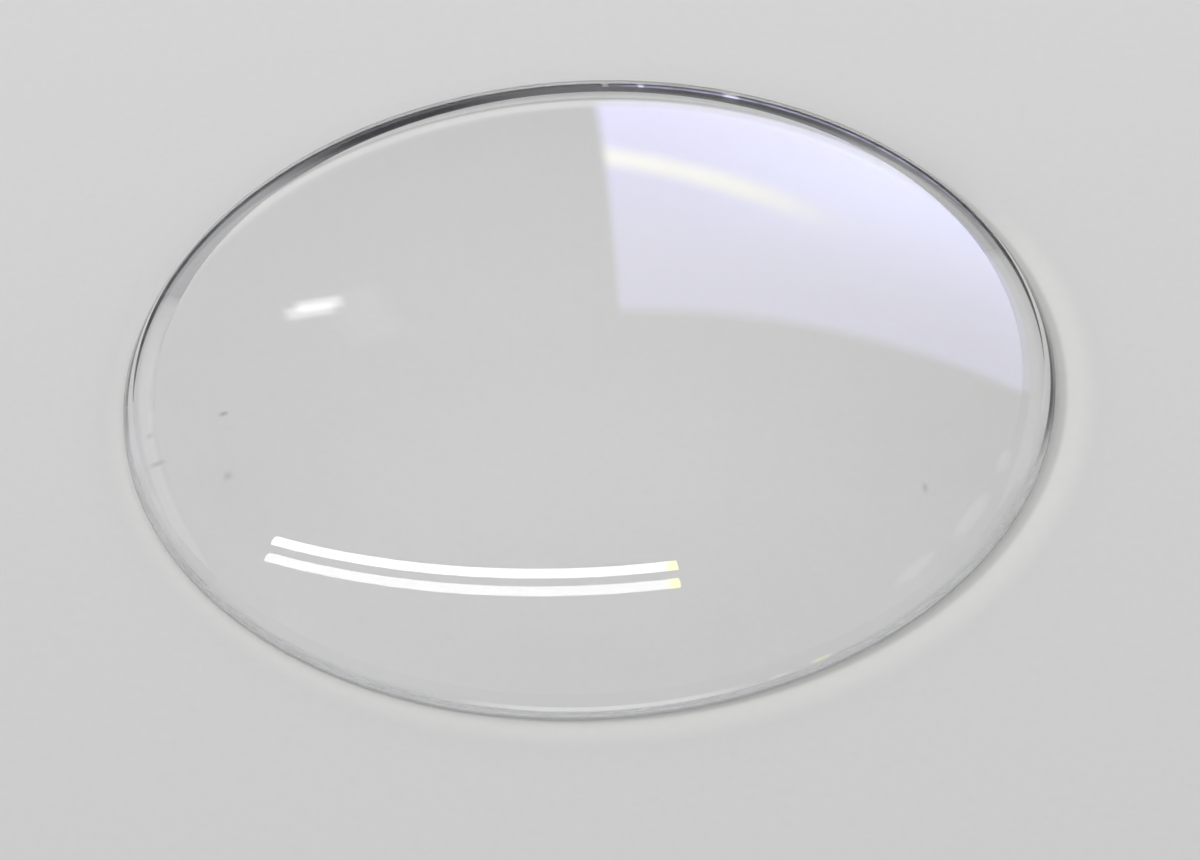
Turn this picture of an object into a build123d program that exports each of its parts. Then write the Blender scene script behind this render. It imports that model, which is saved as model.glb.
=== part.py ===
from build123d import *
import os
from math import sqrt

# Sizes of the glass, in millimetres
outer_diameter = 36.0
crown_thickness = 0.85
dome_radius = 56.0
edge_height = 0.95

# Ground bevels on the two corners of the wall
bevel_width = 0.44
bevel_depth = 0.62
foot_bevel = 0.10

# The foot: a flat seat, and a slope inside it that rises to the hollow
seat_width = 0.45
slope_width = 0.85
slope_height = 0.44

# Places worked out from the sizes, with the seat at height zero
wall_radius = outer_diameter / 2
wall_top = edge_height - bevel_depth
edge_radius = wall_radius - bevel_width
seat_outer_radius = wall_radius - foot_bevel
seat_inner_radius = seat_outer_radius - seat_width
mouth_radius = seat_inner_radius - slope_width
crown_height = edge_height + dome_radius - sqrt(dome_radius**2 - edge_radius**2)
hollow_height = crown_height - crown_thickness
hollow_rise = hollow_height - slope_height
hollow_radius = (mouth_radius**2 + hollow_rise**2) / (2 * hollow_rise)

# The crystal is its half section turned once: hollow, slope, seat, wall with its bevels, and dome
with BuildPart() as crystal:
    with BuildSketch(Plane.XZ) as half_section:
        with BuildLine() as outline:
            hollow = RadiusArc((0, hollow_height), (mouth_radius, slope_height), hollow_radius)
            slope = Line(hollow @ 1, (seat_inner_radius, 0))
            seat = Line(slope @ 1, (seat_outer_radius, 0))
            lower_bevel = Line(seat @ 1, (wall_radius, foot_bevel))
            wall = Line(lower_bevel @ 1, (wall_radius, wall_top))
            upper_bevel = Line(wall @ 1, (edge_radius, edge_height))
            dome = RadiusArc(upper_bevel @ 1, (0, crown_height), -dome_radius)
            Line(dome @ 1, hollow @ 0)
        make_face()
    revolve(axis=Axis.Z)

crystal.part.label = "crystal"

# One file for each piece
os.makedirs("parts", exist_ok=True)
export_step(crystal.part, "parts/crystal.step")
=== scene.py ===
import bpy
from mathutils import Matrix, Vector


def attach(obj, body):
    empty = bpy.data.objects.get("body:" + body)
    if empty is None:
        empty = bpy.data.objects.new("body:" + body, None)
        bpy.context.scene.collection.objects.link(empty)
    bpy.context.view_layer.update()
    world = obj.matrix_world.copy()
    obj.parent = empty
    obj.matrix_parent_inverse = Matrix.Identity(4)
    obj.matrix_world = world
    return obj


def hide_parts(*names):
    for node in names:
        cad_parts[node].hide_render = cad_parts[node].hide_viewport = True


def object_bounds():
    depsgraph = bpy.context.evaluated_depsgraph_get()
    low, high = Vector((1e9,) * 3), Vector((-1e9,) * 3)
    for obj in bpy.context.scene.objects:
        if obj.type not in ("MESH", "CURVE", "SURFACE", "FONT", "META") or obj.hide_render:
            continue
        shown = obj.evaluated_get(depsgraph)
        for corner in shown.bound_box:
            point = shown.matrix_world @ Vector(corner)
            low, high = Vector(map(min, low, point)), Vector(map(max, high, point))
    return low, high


bl_info = {
    "name": "Watch crystal",
    "version": (1, 0, 0),
    "blender": (4, 5, 0),
    "location": "View3D > Sidebar > Watch crystal",
    "description": "Makes a domed watch crystal of clear glass on pale paper, with its light and camera",
    "category": "Object",
}

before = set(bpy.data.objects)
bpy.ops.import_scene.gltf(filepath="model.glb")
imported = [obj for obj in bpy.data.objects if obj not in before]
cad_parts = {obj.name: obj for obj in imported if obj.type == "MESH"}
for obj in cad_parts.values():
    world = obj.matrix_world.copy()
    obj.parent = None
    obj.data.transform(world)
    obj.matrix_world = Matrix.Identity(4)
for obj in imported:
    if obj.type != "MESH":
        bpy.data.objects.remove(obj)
cad_low, cad_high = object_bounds()

from math import asin, cos, pi, radians, sin, sqrt

import bpy
from bpy.props import FloatProperty, FloatVectorProperty, IntProperty, PointerProperty
from bpy.types import Operator, Panel, PropertyGroup
from mathutils import Matrix, Vector

MM = 0.001
RIM_RADIUS = (cad_high.x - cad_low.x) / 2


# Settings


def length(name, description, default):
    """A size in metres that a user can change."""
    return FloatProperty(
        name=name, description=description, default=default, min=0.0, subtype="DISTANCE", unit="LENGTH"
    )


def angle(name, description, degrees):
    """An angle that a user can change."""
    return FloatProperty(name=name, description=description, default=radians(degrees), subtype="ANGLE")


def colour(name, description, default):
    """A colour that a user can change."""
    return FloatVectorProperty(
        name=name, description=description, default=default, subtype="COLOR", size=3, min=0.0, max=8.0
    )


def factor(name, description, default, top=1.0):
    """A plain number that a user can change."""
    return FloatProperty(name=name, description=description, default=default, min=0.0, max=top)


def count(name, description, default, least):
    """A whole number that a user can change."""
    return IntProperty(name=name, description=description, default=default, min=least)


class CrystalShape(PropertyGroup):
    """The half section that the glass is turned from."""
    rim_radius: length("Rim radius", "Half the outer diameter", RIM_RADIUS)
    edge_height: length("Dome edge height", "Height of the dome's edge above the seat", 0.95 * MM)
    bevel_width: length("Bevel width", "How far the upper bevel reaches in from the wall", 0.44 * MM)
    bevel_depth: length("Bevel depth", "How far the upper bevel reaches down the wall", 0.62 * MM)
    foot_bevel: length("Foot bevel", "Small bevel between the wall and the seat", 0.10 * MM)
    seat_width: length("Seat width", "Width of the flat ring that the glass stands on", 0.45 * MM)
    slope_width: length("Inner slope width", "Width of the slope inside the seat", 0.85 * MM)
    slope_height: length("Inner slope height", "Height of the slope where it meets the hollow", 0.44 * MM)
    dome_radius: length("Dome radius", "Radius of the polished upper face", 56.0 * MM)
    thickness: length("Crown thickness", "Thickness of the glass at its middle", 0.85 * MM)
    segments: count("Segments", "Steps round the rim", 360, 24)
    rings: count("Rings", "Steps from the middle to the rim on each polished face", 72, 8)


class GlassLook(PropertyGroup):
    """Finish of the glass."""
    tint: colour("Glass tint", "Colour that the glass gives to what is seen through it", (1.0, 1.0, 1.0))
    bevel_tint: colour("Bevel tint", "Colour of the ground upper bevel", (0.95, 0.955, 0.955))
    foot_tint: colour("Foot tint", "Colour of the ground wall and seat in front", (0.88, 0.88, 0.88))
    # Painted light: the ground wall and seat lighter at the rear than in front
    rear_lit_tint: colour("Rear foot tint", "Colour of the ground wall and seat at the rear, painted lighter", (1.0, 1.0, 1.0))
    # Painted shade: the wall darker low down, next to the paper
    low_wall_shade: colour("Wall tint", "Colour low on the wall, painted darker as shade", (0.45, 0.45, 0.45))
    # Painted shade: colour of the dark band painted round the rear half of the rim
    dust: colour("Painted rim shade", "Colour of the shade painted into the wall and seat", (0.10, 0.10, 0.11))
    # Painted shade: a darker colour for that band at the right
    shade_right: colour("Shade at the right", "Colour of the painted shade at the right, where it is darker", (0.05, 0.05, 0.045))
    speck: colour("Speck colour", "Colour of the specks of dust on the dome", (0.34, 0.33, 0.33))
    index: factor("Index of refraction", "How strongly the glass bends light", 1.52, 3.0)
    polish: factor("Polished roughness", "Roughness of the two polished faces", 0.004)
    smudge: factor("Smudge strength", "How much the faint smudges roughen the polish", 0.02)
    bevel_roughness: factor("Bevel roughness", "Roughness of the ground upper bevel", 0.06)
    foot_roughness: factor("Foot roughness", "Roughness of the wall and seat in front", 0.5)
    rear_roughness: factor("Rear foot roughness", "Roughness of the wall and seat at the rear", 0.12)
    foot_clear: factor("Foot clearness", "How much light the ground wall and seat let through", 0.7)


class StageLook(PropertyGroup):
    """Paper, light and camera."""
    paper: colour("Paper", "Colour of the paper in front", (0.600, 0.600, 0.600))
    # Painted light: the paper lighter behind the glass than in front
    paper_rear_lit: colour("Paper at the rear", "Colour of the paper behind the glass, painted lighter", (0.660, 0.660, 0.660))
    light: factor("Light", "Strength of the plain light on the paper", 1.0, 4.0)
    under_glass: factor("Light through the glass", "Gain of the light that it lets through", 1.66, 4.0)
    room: colour("Room", "Brightness of the room that the glass reflects", (0.42, 0.42, 0.43))
    ceiling: colour("Ceiling", "Brightness high up and behind the camera", (0.63, 0.63, 0.64))
    dim_room: colour("Dim room", "Brightness of the room below the bright strip", (0.36, 0.36, 0.37))
    dark_room: colour("Dark room", "Brightness of the dark things behind the paper", (0.15, 0.15, 0.155))
    dark_left: colour("Darkest room", "Brightness of the darkest things, to the left", (0.05, 0.05, 0.055))
    strip: colour("Strip", "Brightness of the pale strip under the window", (1.1, 1.1, 1.08))
    window: colour("Window", "Brightness of the window's lower left part", (1.42, 1.36, 2.25))
    window_right: colour("Window right", "Brightness of the window's lower right part", (1.95, 2.00, 3.05))
    window_top: colour("Window top", "Brightness of the window's upper part", (1.30, 1.25, 1.90))
    curtain: colour("Curtain", "Brightness of the warm band across the window", (2.45, 2.42, 2.25))
    small_pane: colour("Small pane", "Brightness of a small pane left of the window", (4.0, 4.0, 4.0))
    faint_pane: colour("Faint pane", "Brightness of a faint pane beside the small one", (0.58, 0.58, 0.59))
    tube: factor("Tube strength", "Brightness of the tube lamp", 12.0, 100.0)
    tube_radius: length("Tube radius", "Radius of the tube lamp", 1.75 * MM)
    camera_height: angle("Camera elevation", "Angle of the camera above the paper", 43.07)
    camera_roll: angle("Camera roll", "Turn of the camera about its own axis", -3.17)
    camera_distance: length("Camera distance", "Distance from the aim to the camera", 0.144)
    lens: factor("Lens", "Focal length in millimetres, for the sensor width below", 113.04, 500.0)
    sensor: factor("Sensor width", "Width of the camera's sensor, in millimetres", 36.0, 100.0)


# The glass

# Finishes of the glass, in the order of its material slots
POLISHED = 0
GROUND_BEVEL = 1
GROUND_FOOT = 2


def arc_points(radius, reach, top, steps):
    """Points of an arc that starts on the axis at height top and falls out to the radius reach."""
    end = asin(reach / radius)
    centre = top - radius
    turns = [end * i / steps for i in range(steps + 1)]
    return [(radius * sin(turn), centre + radius * cos(turn)) for turn in turns]


def crown_height(shape):
    """Height of the dome's middle above the seat."""
    edge = shape.rim_radius - shape.bevel_width
    return shape.edge_height + shape.dome_radius - sqrt(shape.dome_radius**2 - edge**2)


def half_section(shape):
    """The glass's half section, as runs of points that each have one finish."""
    rim = shape.rim_radius
    edge = rim - shape.bevel_width
    crown = crown_height(shape)
    wall_top = shape.edge_height - shape.bevel_depth
    seat_outer = rim - shape.foot_bevel
    seat_inner = seat_outer - shape.seat_width
    mouth = seat_inner - shape.slope_width
    hollow_top = crown - shape.thickness
    hollow_rise = hollow_top - shape.slope_height
    hollow_radius = (mouth**2 + hollow_rise**2) / (2 * hollow_rise)
    dome = arc_points(shape.dome_radius, edge, crown, shape.rings)
    hollow = arc_points(hollow_radius, mouth, hollow_top, shape.rings)[::-1]
    foot = [(rim, wall_top), (rim, shape.foot_bevel), (seat_outer, 0.0), (seat_inner, 0.0)]
    corners = [dome[-1], *foot, hollow[0]]
    finishes = [GROUND_BEVEL, GROUND_FOOT, GROUND_FOOT, GROUND_FOOT, POLISHED]
    flats = [([start, end], finish) for start, end, finish in zip(corners, corners[1:], finishes)]
    return [(dome, POLISHED), *flats, (hollow, POLISHED)]


def turned_mesh(name, runs, segments):
    """Turns runs of half-section points about the axis into a closed mesh, with sharp edges between runs."""
    profile = [runs[0][0][0]]
    finishes = []
    run_starts = []
    for points, finish in runs:
        run_starts.append(len(profile) - 1)
        profile.extend(points[1:])
        finishes.extend([finish] * (len(points) - 1))
    rings = profile[1:-1]
    turns = [2 * pi * i / segments for i in range(segments)]
    places = [(0.0, 0.0, profile[0][1])]
    for radius, height in rings:
        places.extend((radius * cos(turn), radius * sin(turn), height) for turn in turns)
    places.append((0.0, 0.0, profile[-1][1]))

    def first_of(ring):
        """Number of a ring's first point."""
        return 1 + ring * segments

    last = len(places) - 1
    last_ring = len(rings) - 1
    faces = []
    slots = []
    for i in range(segments):
        j = (i + 1) % segments
        faces.append((0, first_of(0) + i, first_of(0) + j))
        slots.append(finishes[0])
        for ring in range(last_ring):
            here = first_of(ring)
            beyond = first_of(ring + 1)
            faces.append((here + i, beyond + i, beyond + j, here + j))
            slots.append(finishes[ring + 1])
        faces.append((first_of(last_ring) + i, last, first_of(last_ring) + j))
        slots.append(finishes[-1])
    mesh = bpy.data.meshes.new(name)
    mesh.from_pydata(places, [], faces)
    mesh.polygons.foreach_set("material_index", slots)
    mesh.polygons.foreach_set("use_smooth", [True] * len(faces))
    sharp = set()
    for point in run_starts[1:]:
        start = first_of(point - 1)
        sharp.update(frozenset((start + i, start + (i + 1) % segments)) for i in range(segments))
    for edge in mesh.edges:
        if frozenset(edge.vertices) in sharp:
            edge.use_edge_sharp = True
    mesh.validate()
    mesh.update()
    return mesh


# Materials

WHITE = (1.0, 1.0, 1.0)
FLOAT = "NodeSocketFloat"
VECTOR = "NodeSocketVector"


class Nodes:
    """Adds nodes to a tree and links them."""

    def __init__(self, tree):
        self.tree = tree

    def add(self, kind, **settings):
        node = self.tree.nodes.new(kind)
        for key, value in settings.items():
            setattr(node, key, value)
        return node

    def feed(self, socket, value):
        """Links a socket to another one, or sets it to a plain value."""
        if isinstance(value, bpy.types.NodeSocket):
            self.tree.links.new(value, socket)
        elif socket.type == "RGBA" and len(value) == 3:
            socket.default_value = (*value, 1.0)
        else:
            socket.default_value = value

    def math(self, operation, *values):
        node = self.add("ShaderNodeMath", operation=operation)
        for socket, value in zip(node.inputs, values):
            self.feed(socket, value)
        return node.outputs[0]

    def vector(self, operation, *values):
        node = self.add("ShaderNodeVectorMath", operation=operation)
        for socket, value in zip(node.inputs, values):
            self.feed(socket, value)
        return node.outputs["Value"] if operation == "LENGTH" else node.outputs[0]

    def product(self, *values):
        """All the values multiplied together."""
        result = values[0]
        for value in values[1:]:
            result = self.math("MULTIPLY", result, value)
        return result

    def ramp(self, value, low, high, start=0.0, end=1.0, smooth=True):
        """Start at low and end at high, with an even or a smooth change between them."""
        node = self.add("ShaderNodeMapRange", interpolation_type="SMOOTHSTEP" if smooth else "LINEAR")
        settings = {"Value": value, "From Min": low, "From Max": high, "To Min": start, "To Max": end}
        for name, setting in settings.items():
            self.feed(node.inputs[name], setting)
        return node.outputs["Result"]

    def near(self, value, middle, edges):
        """0 from the first edge out and 1 from the second edge in, both measured from the middle."""
        offset = self.math("ABSOLUTE", self.math("SUBTRACT", value, middle))
        return self.ramp(offset, *edges)

    def mix(self, amount, first, second, blend="MIX"):
        node = self.add("ShaderNodeMix", data_type="RGBA", blend_type=blend)
        self.feed(node.inputs["Factor"], amount)
        self.feed(node.inputs[6], first)
        self.feed(node.inputs[7], second)
        return node.outputs[2]

    def split(self, vector):
        node = self.add("ShaderNodeSeparateXYZ")
        self.feed(node.inputs[0], vector)
        return node.outputs

    def noise(self, place, scale, detail=2.0):
        node = self.add("ShaderNodeTexNoise")
        self.feed(node.inputs["Vector"], place)
        node.inputs["Scale"].default_value = scale
        node.inputs["Detail"].default_value = detail
        return node.outputs[0]

    def place(self):
        """Place on the object, in metres."""
        return self.add("ShaderNodeTexCoord").outputs["Object"]

    def place_mm(self):
        """Place on the object along each axis, in millimetres."""
        return self.split(self.vector("DIVIDE", self.place(), (MM, MM, MM)))

    def span(self, across, along):
        """Straight distance that goes this far across and this far along."""
        return self.math("SQRT", self.math("ADD", self.product(across, across), self.product(along, along)))

    def outward(self, across, along, degrees):
        """Distance out from the axis, towards an angle round the rim."""
        turn = radians(degrees)
        return self.math("ADD", self.product(across, cos(turn)), self.product(along, sin(turn)))

    def round_rim(self, across, along, degrees):
        """Distance round the rim from an angle."""
        turn = radians(degrees)
        return self.math("SUBTRACT", self.product(along, cos(turn)), self.product(across, sin(turn)))


def empty_material(name):
    """A material with no nodes but its output, and a helper for its tree."""
    material = bpy.data.materials.new(name)
    material.use_nodes = True
    material.node_tree.nodes.clear()
    nodes = Nodes(material.node_tree)
    output = nodes.add("ShaderNodeOutputMaterial")
    return material, nodes, output


def empty_group(name, inputs, outputs):
    """A node group with these sockets, a helper for its tree, what it is given, and its results."""
    group = bpy.data.node_groups.new(name, "ShaderNodeTree")
    for way, sockets in (("INPUT", inputs), ("OUTPUT", outputs)):
        for socket, kind in sockets.items():
            group.interface.new_socket(socket, in_out=way, socket_type=kind)
    nodes = Nodes(group)
    given = nodes.add("NodeGroupInput").outputs
    result = nodes.add("NodeGroupOutput").inputs
    return group, nodes, given, result


# Specks of dust on the dome: place across and along, length and width, in millimetres, and strength
SPECKS = (
    (-16.73, -3.10, 0.20, 0.20, 0.35),
    (-16.39, -4.67, 0.38, 0.18, 0.60),
    (-13.87, -2.99, 0.22, 0.15, 0.85),
    (-13.60, -6.20, 0.24, 0.26, 0.40),
    (12.15, -8.87, 0.16, 0.28, 0.45),
)
# Raggedness of a speck's outline, where it fades out, and how far above and below its place it reaches
SPECK_GRAIN = 9000.0
SPECK_RAGGED = 0.9
SPECK_FADE = 1.25
SPECK_LEVEL = 0.3 * MM


def speck_group():
    """Dust speck: a soft dark spot at one place on the surface, with a ragged outline."""
    sizes = {"Place": VECTOR, "Long": FLOAT, "Wide": FLOAT}
    group, nodes, given, result = empty_group("Dust speck", sizes, {"Mask": FLOAT})
    place = nodes.place()
    offset = nodes.split(nodes.vector("SUBTRACT", place, given["Place"]))
    along = nodes.math("DIVIDE", offset[0], given["Long"])
    across = nodes.math("DIVIDE", offset[1], given["Wide"])
    ragged = nodes.math("SUBTRACT", nodes.noise(place, SPECK_GRAIN), 0.5)
    far = nodes.math("MULTIPLY_ADD", ragged, SPECK_RAGGED, nodes.span(across, along))
    spot = nodes.ramp(far, SPECK_FADE, 0.0)
    level = nodes.math("LESS_THAN", nodes.math("ABSOLUTE", offset[2]), SPECK_LEVEL)
    nodes.feed(result["Mask"], nodes.product(spot, level))
    return group


# Smudges: scale and detail of the patches, where they begin and are full, and stretch and scale of the wipes
SMUDGE_SCALE = 160.0
SMUDGE_DETAIL = 3.0
SMUDGE_EDGE = (0.55, 0.75)
WIPE_STRETCH = (1.0, 7.0, 1.0)
WIPE_SCALE = 420.0


def smudge_group():
    """Smudges: faint wiped patches that are a little rougher than the polish."""
    settings = {"Polish": FLOAT, "Strength": FLOAT}
    group, nodes, given, result = empty_group("Smudges", settings, {"Roughness": FLOAT})
    place = nodes.place()
    patches = nodes.ramp(nodes.noise(place, SMUDGE_SCALE, SMUDGE_DETAIL), *SMUDGE_EDGE)
    wiped = nodes.noise(nodes.vector("MULTIPLY", place, WIPE_STRETCH), WIPE_SCALE)
    mask = nodes.product(patches, wiped)
    nodes.feed(result["Roughness"], nodes.math("MULTIPLY_ADD", mask, given["Strength"], given["Polish"]))
    return group


# Painted shade round the rear half of the rim: where it begins and is full from front to rear, in rim radii,
# its slant, and its grain
SHADE_REAR = (-0.30, 0.0)
SHADE_SLANT = 0.12
SHADE_GRAIN = 1500.0
GRAIN_SPREAD = (0.3, 0.7)
THINNEST_SHADE = 0.85
# Gaps in the painted shade at the far rim, where glints show: angle round the rim in degrees, and half their
# width in millimetres
SHADE_GAPS = ((85.6, 0.12), (80.8, 0.12), (68.3, 0.3))
# Where a gap ends and where the painted shade is whole again, in half widths
GAP_EDGE = (0.5, 1.5)


def rim_shade_group():
    """Painted shade: a grey band round the rear half of the rim, a little uneven, with a few gaps in it
    where glints show.
    """
    results = {"Mask": FLOAT, "Rear": FLOAT}
    group, nodes, given, result = empty_group("Painted rim shade", {"Rim radius": FLOAT}, results)
    place = nodes.place()
    across, along, _ = nodes.split(place)
    # Painted shade: the dark band covers the rear half of the rim, a little uneven
    slanted = nodes.math("MULTIPLY_ADD", across, SHADE_SLANT, along)
    rear = nodes.ramp(nodes.math("DIVIDE", slanted, given["Rim radius"]), *SHADE_REAR)
    grain = nodes.ramp(nodes.noise(place, SHADE_GRAIN), *GRAIN_SPREAD, THINNEST_SHADE, 1.0, smooth=False)
    shade_mask = nodes.product(rear, grain)
    # Gaps in the painted shade, where glints show
    for degrees, half in SHADE_GAPS:
        offset = nodes.math("ABSOLUTE", nodes.round_rim(across, along, degrees))
        start, end = [edge * half * MM for edge in GAP_EDGE]
        shade_mask = nodes.product(shade_mask, nodes.ramp(offset, start, end))
    nodes.feed(result["Mask"], shade_mask)
    nodes.feed(result["Rear"], rear)
    return group


def glass_shader(nodes, output, look, tint, roughness, clearness=1.0):
    """Adds the glass shader with its tint and roughness, and links it to the material's output."""
    glass = nodes.add("ShaderNodeBsdfPrincipled")
    nodes.feed(glass.inputs["Base Color"], tint)
    nodes.feed(glass.inputs["Roughness"], roughness)
    glass.inputs["IOR"].default_value = look.index
    glass.inputs["Transmission Weight"].default_value = clearness
    nodes.feed(output.inputs["Surface"], glass.outputs[0])


def polished_glass(look, shape, specks, smudges):
    """Clear polished glass with a few specks of dust and faint smudges."""
    material, nodes, output = empty_material("polished glass")
    centre = crown_height(shape) - shape.dome_radius
    dust = 0.0
    for across, along, long, wide, strength in SPECKS:
        height = centre + sqrt(shape.dome_radius**2 - (across**2 + along**2) * MM**2)
        spot = nodes.add("ShaderNodeGroup", node_tree=specks)
        spot.inputs["Place"].default_value = (across * MM, along * MM, height)
        spot.inputs["Long"].default_value = long * MM
        spot.inputs["Wide"].default_value = wide * MM
        dust = nodes.math("MAXIMUM", dust, nodes.product(spot.outputs["Mask"], strength))
    wiped = nodes.add("ShaderNodeGroup", node_tree=smudges)
    wiped.inputs["Polish"].default_value = look.polish
    wiped.inputs["Strength"].default_value = look.smudge
    tint = nodes.mix(dust, look.tint, look.speck)
    glass_shader(nodes, output, look, tint, wiped.outputs["Roughness"])
    return material


# Painted shade on the bevel: the heights where it begins and is full, in millimetres, its strength, and
# where it begins and is full from left to right, in rim radii
BEVEL_SHADE = (0.66, 0.52)
BEVEL_SHADE_STRENGTH = 0.75
BEVEL_SHADE_RIGHT = (0.05, 0.25)


def ground_bevel(look, shape, rim_shade):
    """Upper bevel: ground, then polished nearly clear, with some painted shade low down at the rear right.
    """
    material, nodes, output = empty_material("ground bevel")
    across, _, height = nodes.place_mm()
    dust = nodes.add("ShaderNodeGroup", node_tree=rim_shade)
    dust.inputs["Rim radius"].default_value = shape.rim_radius
    # Painted shade: darker low on the bevel at the rear right
    low = nodes.ramp(height, *BEVEL_SHADE, 0.0, BEVEL_SHADE_STRENGTH)
    right = nodes.ramp(nodes.math("DIVIDE", across, shape.rim_radius / MM), *BEVEL_SHADE_RIGHT)
    shade_mask = nodes.product(dust.outputs["Mask"], low, right)
    tint = nodes.mix(shade_mask, look.bevel_tint, look.shade_right)
    glass_shader(nodes, output, look, tint, look.bevel_roughness)
    return material


# Painted shade on the seat: how far in from its outer edge it begins and is full, and how much further out
# it reaches at the two sides, in millimetres
SEAT_SHADE = (0.28, 0.38)
SEAT_SHADE_SPREAD = 0.06
# Heights on the wall where the painted shade begins and is full, and where the shade low on the wall fades
# out, in millimetres
WALL_SHADE = (0.05, 0.12)
WALL_SHADE_TOP = (0.36, 0.12)
# Where the painted shade turns darker from left to right, in rim radii
DARKER_SHADE = (0.0, 0.25)


def ground_foot(look, shape, rim_shade):
    """Wall and seat: finely ground, painted lighter at the rear, with painted shade low on the wall and a
    painted dark band round the rear half.
    """
    material, nodes, output = empty_material("ground foot")
    across, along, height = nodes.place_mm()
    outer = (shape.rim_radius - shape.foot_bevel) / MM
    sideways = nodes.math("DIVIDE", across, shape.rim_radius / MM)
    spread = nodes.product(sideways, sideways, SEAT_SHADE_SPREAD)
    start, end = [outer - edge for edge in SEAT_SHADE]
    seat = nodes.ramp(nodes.math("SUBTRACT", nodes.span(across, along), spread), start, end)
    wall = nodes.ramp(height, *WALL_SHADE)
    dust = nodes.add("ShaderNodeGroup", node_tree=rim_shade)
    dust.inputs["Rim radius"].default_value = shape.rim_radius
    # Painted light: the ground wall and seat lighter at the rear than in front
    ground = nodes.mix(dust.outputs["Rear"], look.foot_tint, look.rear_lit_tint)
    # Painted shade: the wall darker low down, next to the paper
    wall_shaded = nodes.mix(nodes.product(wall, nodes.ramp(height, *WALL_SHADE_TOP)), ground, look.low_wall_shade)
    # Painted shade: the dark band in the seat and low on the wall round the rear half
    grey = nodes.mix(nodes.ramp(sideways, *DARKER_SHADE), look.dust, look.shade_right)
    shade_mask = nodes.product(dust.outputs["Mask"], nodes.math("MAXIMUM", seat, wall))
    roughness = nodes.ramp(dust.outputs["Rear"], 0.0, 1.0, look.foot_roughness, look.rear_roughness)
    glass_shader(nodes, output, look, nodes.mix(shade_mask, wall_shaded, grey), roughness, look.foot_clear)
    return material


# The stage

# Light and shade that the rim throws on the paper, painted into its tone, in millimetres. A pair is where a
# ramp starts and ends, and a line is its middle with the half widths where it fades out and where it is full
GLASS_EDGE = (17.92, 18.02)
SEAT_EDGE = (17.46, 17.40)
SHADE_LEAN = 0.45
SHADOW = (18.12, 17.88)
SHADOW_TONE = (0.80, 0.80, 0.80)
HALO = (19.40, 18.10)
HALO_FRONT = (12.0, 4.0)
HALO_TONE = (1.16, 1.16, 1.145)
FAR_RIM = (7.0, 12.0)
FAR_CENTRE = -1.3
GREY_BAND = (17.96, 18.04)
GREY_TONE = (0.87, 0.87, 0.87)
DARK_BAND = (18.08, 18.42)
DARK_TONE = (0.74, 0.74, 0.74)
THIN_LINE = (17.99, (0.12, 0.05))
THIN_TONE = (0.64, 0.64, 0.64)
UNDER_SEAT_START = (17.56, 17.66)
UNDER_SEAT_END = (18.0, 17.92)
UNDER_SEAT_LIGHT = (1.30, 1.30, 1.30)
BRIGHT_BAND = (17.58, (0.36, 0.14))
BRIGHT_TONE = (1.06, 1.06, 1.06)
NEAR_LINE = (17.28, (0.17, 0.08))
NEAR_RIM = (-16.2, -17.2)
NEAR_TONE = (1.30, 1.30, 1.30)
# Patches of light inside the near rim: radius and angle round the rim, length, width (mm) and tone
PATCHES = (
    (17.25, 296.5, 0.55, 0.13, (1.28, 1.30, 1.02)),
    (17.30, 291.0, 0.60, 0.10, (1.18, 1.18, 1.12)),
    (16.55, 338.0, 0.90, 0.32, (1.08, 1.08, 1.08)),
    (16.50, 327.0, 1.70, 0.40, (1.09, 1.09, 1.09)),
    (16.30, 315.0, 1.40, 0.36, (1.08, 1.08, 1.08)),
)
PATCH_EDGE = (1.0, 0.1)


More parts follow.
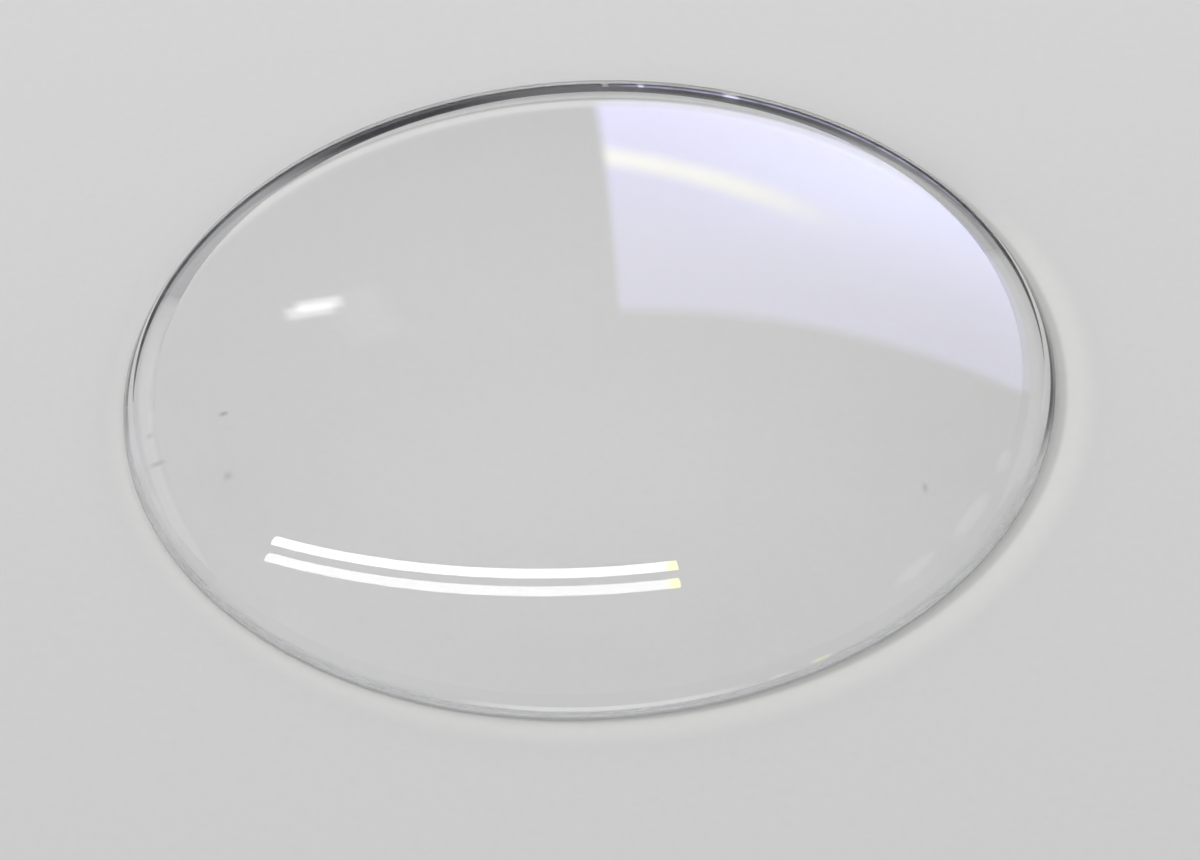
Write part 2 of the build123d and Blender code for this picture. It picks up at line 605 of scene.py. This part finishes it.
def gathered_light(nodes, tone):
    """Tone of the paper with the faint shadows and bright lines that the glass's rim throws on it."""
    across, along, _ = nodes.place_mm()

    def distance(x, y):
        """Distance on the paper from a point."""
        return nodes.span(nodes.math("SUBTRACT", across, x), nodes.math("SUBTRACT", along, y))

    def shaded(value, *masks):
        """The tone multiplied by a value where all the masks are 1."""
        change = nodes.mix(nodes.product(*masks), WHITE, value)
        return nodes.mix(1.0, tone, change, blend="MULTIPLY")

    radius = distance(0.0, 0.0)
    outside = nodes.ramp(radius, *GLASS_EDGE)
    inside = nodes.ramp(radius, *SEAT_EDGE)

    # Outside the rim: a narrow shadow to the right, then a pale halo in front
    leaning = distance(SHADE_LEAN, 0.0)
    tone = shaded(SHADOW_TONE, outside, nodes.ramp(leaning, *SHADOW))
    tone = shaded(HALO_TONE, outside, nodes.ramp(along, *HALO_FRONT), nodes.ramp(leaning, *HALO))

    # Inside the far rim: two bands of painted shade, a thin painted dark line, painted light on the paper
    # under the seat, and a painted bright band
    curve = distance(0.0, FAR_CENTRE)
    far_rim = nodes.ramp(along, *FAR_RIM)
    tone = shaded(GREY_TONE, far_rim, inside, nodes.ramp(curve, *GREY_BAND))
    tone = shaded(DARK_TONE, far_rim, inside, nodes.ramp(curve, *DARK_BAND))
    tone = shaded(THIN_TONE, far_rim, inside, nodes.near(curve, *THIN_LINE))
    under_seat = nodes.product(nodes.ramp(radius, *UNDER_SEAT_START), nodes.ramp(radius, *UNDER_SEAT_END))
    tone = shaded(UNDER_SEAT_LIGHT, far_rim, under_seat)
    tone = shaded(BRIGHT_TONE, far_rim, nodes.near(curve, *BRIGHT_BAND))

    # Inside the near rim: one thin painted bright line, and the painted patches of light
    tone = shaded(NEAR_TONE, nodes.near(radius, *NEAR_LINE), nodes.ramp(along, *NEAR_RIM))
    for reach, degrees, long, wide, value in PATCHES:
        offset = nodes.math("SUBTRACT", nodes.outward(across, along, degrees), reach)
        across_patch = nodes.math("DIVIDE", offset, wide)
        along_patch = nodes.math("DIVIDE", nodes.round_rim(across, along, degrees), long)
        squares = [nodes.product(part, part) for part in (across_patch, along_patch)]
        tone = shaded(value, nodes.ramp(nodes.math("ADD", *squares), *PATCH_EDGE))
    return tone


# The paper: scale, detail, spread and tone of its grain, and where its painted light turns it lighter from
# front to rear (mm)
FIBRE_SCALE = 2600.0
FIBRE_DETAIL = 4.0
FIBRE_SPREAD = (0.2, 0.8)
FIBRE_TONE = (0.985, 1.015)
PAPER_TURN = (-25.0, 25.0)
PAPER_ROUGHNESS = 0.9
PAPER_SHEEN = 0.1


def paper_material(look):
    """Smooth pale paper with a faint grain, painted lighter towards the rear, and with the rim's painted
    light and shade.
    """
    material, nodes, output = empty_material("paper")
    fibre = nodes.noise(nodes.place(), FIBRE_SCALE, FIBRE_DETAIL)
    # Painted light: the paper turns lighter from front to rear
    rear = nodes.ramp(nodes.place_mm()[1], *PAPER_TURN, smooth=False)
    tone = nodes.mix(rear, look.paper, look.paper_rear_lit)
    grain = nodes.ramp(fibre, *FIBRE_SPREAD, *FIBRE_TONE, smooth=False)
    tone = nodes.mix(1.0, tone, grain, blend="MULTIPLY")
    sheet = nodes.add("ShaderNodeBsdfPrincipled")
    nodes.feed(sheet.inputs["Base Color"], gathered_light(nodes, tone))
    sheet.inputs["Roughness"].default_value = PAPER_ROUGHNESS
    sheet.inputs["Specular IOR Level"].default_value = PAPER_SHEEN
    nodes.feed(output.inputs["Surface"], sheet.outputs[0])
    return material


# The paper's reach each way from the glass, and the gap that keeps it clear of the seat, in metres
PAPER_REACH = 1.5
PAPER_GAP = 0.01 * MM


def flat_sheet(name, reach, height):
    """A square sheet that lies level."""
    corners = [(x * reach, y * reach, height) for x, y in ((-1, -1), (1, -1), (1, 1), (-1, 1))]
    mesh = bpy.data.meshes.new(name)
    mesh.from_pydata(corners, [], [(0, 1, 2, 3)])
    return bpy.data.objects.new(name, mesh)


# The room that the glass reflects, drawn over the directions side = x / y and rise = z / y. A bowed line is
# its height in the middle, its bow and its softness, and a pair is where a ramp starts and ends
DARK_TOP = (0.085, 1.30, 0.004)
STRIP_FOOT = (0.107, 1.20, 0.004)
STRIP_TOP = (0.136, 1.23, 0.008)
DARK_MIDDLE = (0.32, 0.18)
DARKEST_LEFT = (-0.02, -0.12)
CEILING_EDGE = (0.70, 0.90)
WINDOW_SLANT = -0.045
WINDOW_LEFT = (0.003, 0.018)
WINDOW_TOP = (0.900, 0.865)
GLOW_RIGHT = (0.02, 0.35)
GLOW_TOP = (0.30, 0.80)
CURTAIN_SLOPE = 0.60
CURTAIN_HEIGHT = 0.315
CURTAIN_EDGE = (0.060, 0.0)
CURTAIN_END = (0.34, 0.16)
# The small panes: middle, edges across and edges up, and the lean and the tilt of the bright one
SMALL_PANE = (-0.366, 0.661)
SMALL_ACROSS = (0.042, 0.022)
SMALL_UP = (0.032, 0.010)
SMALL_LEAN = 0.20
SMALL_TILT = 0.52
FAINT_PANE = (-0.315, 0.75)
FAINT_ACROSS = (0.045, 0.030)
FAINT_UP = (0.115, 0.095)
# Directions less than this far ahead see the room behind the camera, and the least depth to divide by
AHEAD = 0.02
LEAST_DEPTH = 0.001


def reflected_room(nodes, look, across, deep, up):
    """Colour of the room in each direction: strip, dark things, ceiling, window and small panes."""
    ahead = nodes.math("MAXIMUM", deep, LEAST_DEPTH)
    side = nodes.math("DIVIDE", across, ahead)
    rise = nodes.math("DIVIDE", up, ahead)
    bowed = nodes.product(side, side)

    def above(base, bow, soft):
        """1 above a bowed line across the room and 0 below it."""
        line = nodes.math("MULTIPLY_ADD", bowed, bow, base)
        return nodes.ramp(nodes.math("SUBTRACT", rise, line), -soft, soft)

    # The room, with a bright strip low behind the paper and dark things below it
    darkest = nodes.mix(nodes.ramp(side, *DARKEST_LEFT), look.dark_room, look.dark_left)
    dark = nodes.mix(nodes.near(side, 0.0, DARK_MIDDLE), look.dim_room, darkest)
    over_strip = above(*STRIP_TOP)
    seen = nodes.mix(above(*DARK_TOP), dark, look.dim_room)
    seen = nodes.mix(above(*STRIP_FOOT), seen, look.strip)
    seen = nodes.mix(over_strip, seen, look.room)
    seen = nodes.mix(nodes.ramp(up, *CEILING_EDGE), seen, look.ceiling)

    # The window, with a warm band across it
    left = nodes.ramp(nodes.math("MULTIPLY_ADD", rise, WINDOW_SLANT, side), *WINDOW_LEFT)
    pane = nodes.product(left, nodes.ramp(rise, *WINDOW_TOP), over_strip)
    band_line = nodes.math("MULTIPLY_ADD", side, CURTAIN_SLOPE, CURTAIN_HEIGHT)
    band = nodes.product(nodes.near(rise, band_line, CURTAIN_EDGE), nodes.ramp(side, *CURTAIN_END))
    glow = nodes.mix(nodes.ramp(side, *GLOW_RIGHT), look.window, look.window_right)
    glow = nodes.mix(nodes.ramp(rise, *GLOW_TOP), glow, look.window_top)
    seen = nodes.mix(pane, seen, nodes.mix(band, glow, look.curtain))

    # Left of the window: a faint pane, and a small bright one that leans a little
    faint_across = nodes.near(side, FAINT_PANE[0], FAINT_ACROSS)
    faint = nodes.product(faint_across, nodes.near(rise, FAINT_PANE[1], FAINT_UP))
    raised = nodes.math("SUBTRACT", rise, SMALL_PANE[1])
    beside = nodes.math("SUBTRACT", side, SMALL_PANE[0])
    across_pane = nodes.math("MULTIPLY_ADD", raised, SMALL_LEAN, beside)
    along_pane = nodes.math("SUBTRACT", raised, nodes.product(across_pane, SMALL_TILT))
    small_across = nodes.near(across_pane, 0.0, SMALL_ACROSS)
    small = nodes.product(small_across, nodes.near(along_pane, 0.0, SMALL_UP))
    seen = nodes.mix(faint, seen, look.faint_pane)
    seen = nodes.mix(small, seen, look.small_pane)
    return nodes.mix(nodes.math("GREATER_THAN", deep, AHEAD), look.ceiling, seen)


# The plain light on the paper, from level to overhead and from left to right, and the backdrop beyond it
LIGHT_UP = (0.8, 1.1)
LIGHT_ACROSS = (1.25, 0.75)
BACKDROP = (0.80, 0.80, 0.80)


def room_light(look):
    """The world: an even light for the paper, and for the glass a room with a window to reflect."""
    world = bpy.data.worlds.new("room")
    world.use_nodes = True
    world.node_tree.nodes.clear()
    nodes = Nodes(world.node_tree)
    output = nodes.add("ShaderNodeOutputWorld")
    path = nodes.add("ShaderNodeLightPath").outputs
    across, deep, up = nodes.split(nodes.add("ShaderNodeTexCoord").outputs["Generated"])

    def background(tone, strength=1.0):
        """A background shader with a tone and a strength."""
        shader = nodes.add("ShaderNodeBackground")
        nodes.feed(shader.inputs["Color"], tone)
        nodes.feed(shader.inputs["Strength"], strength)
        return shader.outputs[0]

    def chosen(amount, first, second):
        """The first shader where the amount is 0, and the second where it is 1."""
        choose = nodes.add("ShaderNodeMixShader")
        for socket, value in zip(choose.inputs, (amount, first, second)):
            nodes.feed(socket, value)
        return choose.outputs[0]

    # Rays that light the paper see the even light, and rays that leave the glass for the eye see the room
    by_glass = nodes.math("MAXIMUM", path["Is Glossy Ray"], path["Is Transmission Ray"])
    scattered = nodes.math("GREATER_THAN", path["Diffuse Depth"], 0.5)
    lighting = nodes.math("MAXIMUM", scattered, nodes.math("SUBTRACT", 1.0, by_glass))
    overhead = nodes.ramp(up, 0.0, 1.0, *LIGHT_UP, smooth=False)
    sideways = nodes.ramp(across, -1.0, 1.0, *LIGHT_ACROSS, smooth=False)
    gain = nodes.ramp(path["Is Transmission Ray"], 0.0, 1.0, 1.0, look.under_glass)
    even = background(WHITE, nodes.product(overhead, look.light, sideways, gain))
    reflected = background(reflected_room(nodes, look, across, deep, up))
    surface = chosen(path["Is Camera Ray"], chosen(lighting, reflected, even), background(BACKDROP))
    nodes.feed(output.inputs["Surface"], surface)
    return world


# The tube lamp's ends, height and bend, in rim radii: it hangs TUBE_AWAY + TUBE_BEND * across^2 to the rear
TUBE_LEFT = -5.80
TUBE_RIGHT = 1.25
TUBE_HEIGHT = 10.0
TUBE_AWAY = 2.545
TUBE_BEND = 0.072
# Steps along the tube, and round it
TUBE_STEPS = 48
TUBE_ROUNDNESS = 6
# Where its right end turns warm, in rim radii from the end, and the warm colour
TUBE_WARM = (0.28, 0.10)
WARM = (1.0, 1.0, 0.30)


def tube_light(look, rim):
    """Glow of the tube lamp, warm at its right end."""
    material, nodes, output = empty_material("tube light")
    start, end = [(TUBE_RIGHT - edge) * rim for edge in TUBE_WARM]
    warm = nodes.ramp(nodes.split(nodes.place())[0], start, end)
    light = nodes.add("ShaderNodeEmission")
    nodes.feed(light.inputs["Color"], nodes.mix(warm, WHITE, WARM))
    light.inputs["Strength"].default_value = look.tube
    nodes.feed(output.inputs["Surface"], light.outputs[0])
    return material


def tube_lamp(look, rim):
    """A bent tube lamp, made as a curve and hung over the glass."""
    curve = bpy.data.curves.new("tube lamp", "CURVE")
    curve.dimensions = "3D"
    curve.bevel_depth = look.tube_radius
    curve.bevel_resolution = TUBE_ROUNDNESS
    curve.use_fill_caps = True
    line = curve.splines.new("POLY")
    line.points.add(TUBE_STEPS)
    for i, point in enumerate(line.points):
        across = TUBE_LEFT + (TUBE_RIGHT - TUBE_LEFT) * i / TUBE_STEPS
        away = TUBE_AWAY + TUBE_BEND * across**2
        point.co = (across * rim, away * rim, TUBE_HEIGHT * rim, 1.0)
    curve.materials.append(tube_light(look, rim))
    lamp = bpy.data.objects.new("tube lamp", curve)
    lamp.visible_camera = False
    lamp.visible_diffuse = False
    lamp.visible_shadow = False
    return lamp


# Where the camera aims, across and along the paper, in rim radii, and the nearest that it sees, in metres
CAMERA_AIM = (0.019, -0.164)
CAMERA_NEAREST = 0.001


def aim_camera(look, rim):
    """Camera at the photograph's angle, with its slight roll."""
    rise = look.camera_height
    back = Vector((0.0, -cos(rise), sin(rise)))
    upright = Vector((0.0, sin(rise), cos(rise)))
    right = cos(look.camera_roll) * Vector((1.0, 0.0, 0.0)) + sin(look.camera_roll) * upright
    up = back.cross(right)
    aim = Vector((CAMERA_AIM[0] * rim, CAMERA_AIM[1] * rim, 0.0))
    data = bpy.data.cameras.new("camera")
    data.lens = look.lens
    data.sensor_width = look.sensor
    data.clip_start = CAMERA_NEAREST
    camera = bpy.data.objects.new("camera", data)
    turn = Matrix((right, up, back)).transposed()
    camera.matrix_world = Matrix.Translation(aim + back * look.camera_distance) @ turn.to_4x4()
    return camera


class CRYSTAL_OT_make_glass(Operator):
    """Turn the glass from its half section and give it its finish"""
    bl_idname = "crystal.make_glass"
    bl_label = "Make the glass"

    def execute(self, context):
        shape = context.scene.crystal_shape
        look = context.scene.crystal_glass
        mesh = turned_mesh("glass", half_section(shape), shape.segments)
        glass = bpy.data.objects.new("glass", mesh)
        context.scene.collection.objects.link(glass)
        rim_shade = rim_shade_group()
        mesh.materials.append(polished_glass(look, shape, speck_group(), smudge_group()))
        mesh.materials.append(ground_bevel(look, shape, rim_shade))
        mesh.materials.append(ground_foot(look, shape, rim_shade))
        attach(glass, "root")
        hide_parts("crystal")
        return {"FINISHED"}


class CRYSTAL_OT_make_stage(Operator):
    """Lay the paper, hang the lamp, light the room and set the camera"""
    bl_idname = "crystal.make_stage"
    bl_label = "Make the stage"

    def execute(self, context):
        scene = context.scene
        look = scene.crystal_stage
        rim = scene.crystal_shape.rim_radius
        paper = flat_sheet("paper", PAPER_REACH, cad_low.z - PAPER_GAP)
        paper.data.materials.append(paper_material(look))
        lamp = tube_lamp(look, rim)
        for thing in (paper, lamp):
            scene.collection.objects.link(thing)
        scene.world = room_light(look)
        camera = aim_camera(look, rim)
        scene.collection.objects.link(camera)
        scene.camera = camera
        scene.view_settings.view_transform = "Standard"
        return {"FINISHED"}


class CRYSTAL_PT_panel(Panel):
    """Sidebar panel with the settings and the operators"""
    bl_idname = "CRYSTAL_PT_panel"
    bl_label = "Watch crystal"
    bl_space_type = "VIEW_3D"
    bl_region_type = "UI"
    bl_category = "Watch crystal"

    def draw(self, context):
        layout = self.layout
        scene = context.scene
        for group in (scene.crystal_shape, scene.crystal_glass, scene.crystal_stage):
            box = layout.box()
            for key in group.bl_rna.properties.keys():
                if key not in ("rna_type", "name"):
                    box.prop(group, key)
        layout.operator("crystal.make_glass")
        layout.operator("crystal.make_stage")


CLASSES = (
    CrystalShape,
    GlassLook,
    StageLook,
    CRYSTAL_OT_make_glass,
    CRYSTAL_OT_make_stage,
    CRYSTAL_PT_panel,
)


def register():
    for item in CLASSES:
        bpy.utils.register_class(item)
    bpy.types.Scene.crystal_shape = PointerProperty(type=CrystalShape)
    bpy.types.Scene.crystal_glass = PointerProperty(type=GlassLook)
    bpy.types.Scene.crystal_stage = PointerProperty(type=StageLook)


def unregister():
    del bpy.types.Scene.crystal_shape
    del bpy.types.Scene.crystal_glass
    del bpy.types.Scene.crystal_stage
    for item in reversed(CLASSES):
        bpy.utils.unregister_class(item)


def main():
    register()
    bpy.ops.crystal.make_glass()
    bpy.ops.crystal.make_stage()


if __name__ == "__main__":
    main()
